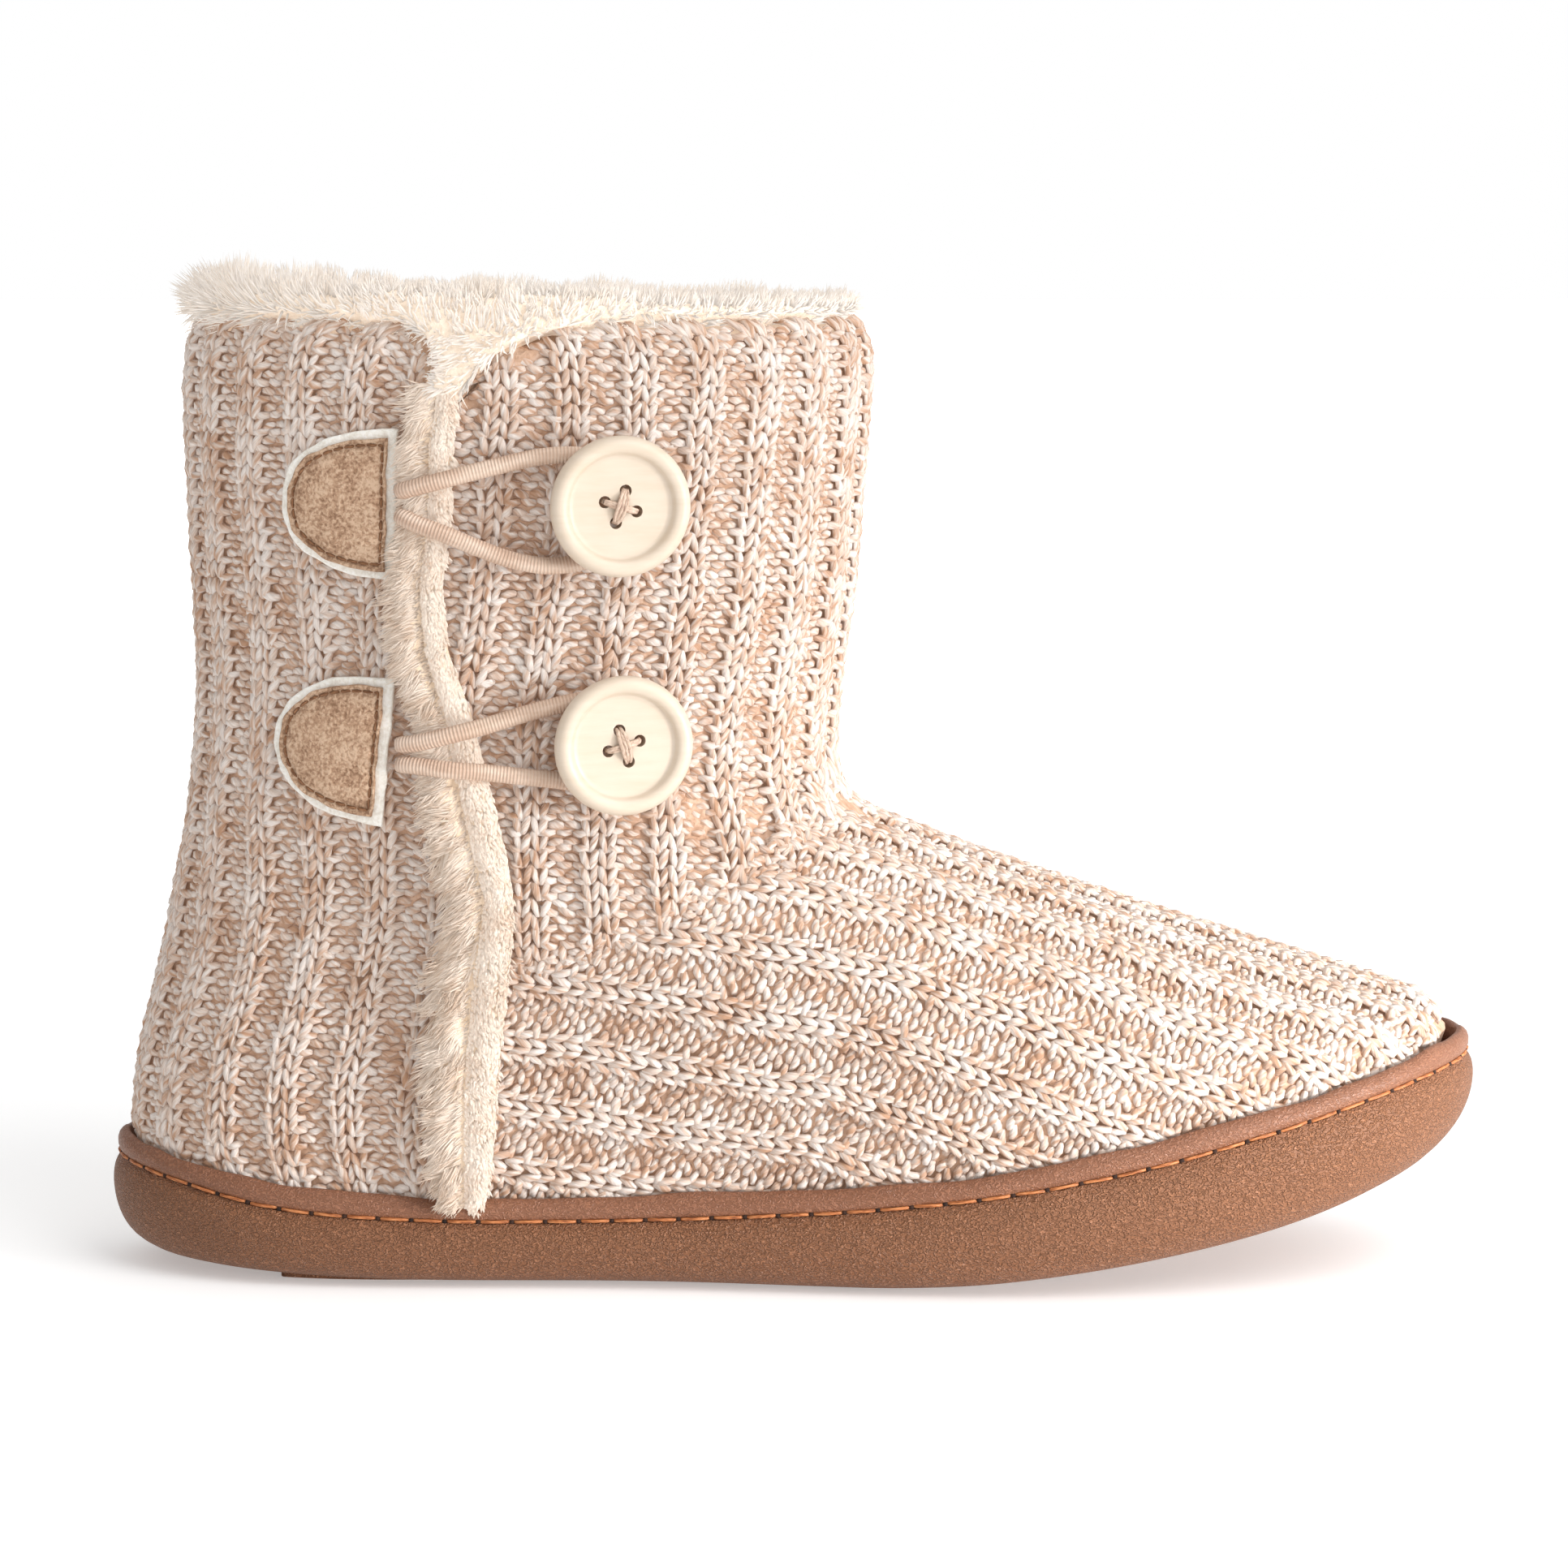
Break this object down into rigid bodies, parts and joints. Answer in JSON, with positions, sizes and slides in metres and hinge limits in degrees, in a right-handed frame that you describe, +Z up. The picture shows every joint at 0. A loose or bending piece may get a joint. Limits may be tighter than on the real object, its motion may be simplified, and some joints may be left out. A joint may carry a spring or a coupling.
{
  "type": "knit slipper boot",
  "caption": "Right-foot ankle-high rib-knit slipper boot with a pile collar and slit strip, toggle-loop buttons, a stitched welt and a moulded sole.",
  "frame": {"origin": "centre of the bounding box in X and Y, at the bottom of the tread pads, on the floor", "axes": "+X from heel to toe, -Y the outer side with the buttons, +Z up out of the collar"},
  "size_m": [0.2586, 0.1066, 0.1859],
  "materials": {
    "sole_rubber": "matte pebbled light brown",
    "welt_leather": "satin reddish brown binding",
    "insole_fleece": "cream fleece",
    "rib_knit": "two-by-two rib knit in white and beige marled yarn",
    "pile": "cream sheared pile",
    "tab_felt": "off-white felt",
    "tab_suede": "brown suede",
    "elastic_cord": "beige covered elastic",
    "button_wood": "pale turned wood, satin",
    "button_thread": "twisted sewing thread"
  },
  "bodies": {
    "root": {"outsole": "sole_rubber", "welt": "welt_leather", "insole": "insole_fleece", "upper": "rib_knit", "fur_collar": "pile", "fur_placket": "pile", "tab_backing_upper": "tab_felt", "tab_facing_upper": "tab_suede", "elastic_loop_upper": "elastic_cord", "tab_backing_lower": "tab_felt", "tab_facing_lower": "tab_suede", "elastic_loop_lower": "elastic_cord", "button_upper": "button_wood", "button_thread_upper": "button_thread", "button_lower": "button_wood", "button_thread_lower": "button_thread"}
  },
  "joints": []
}
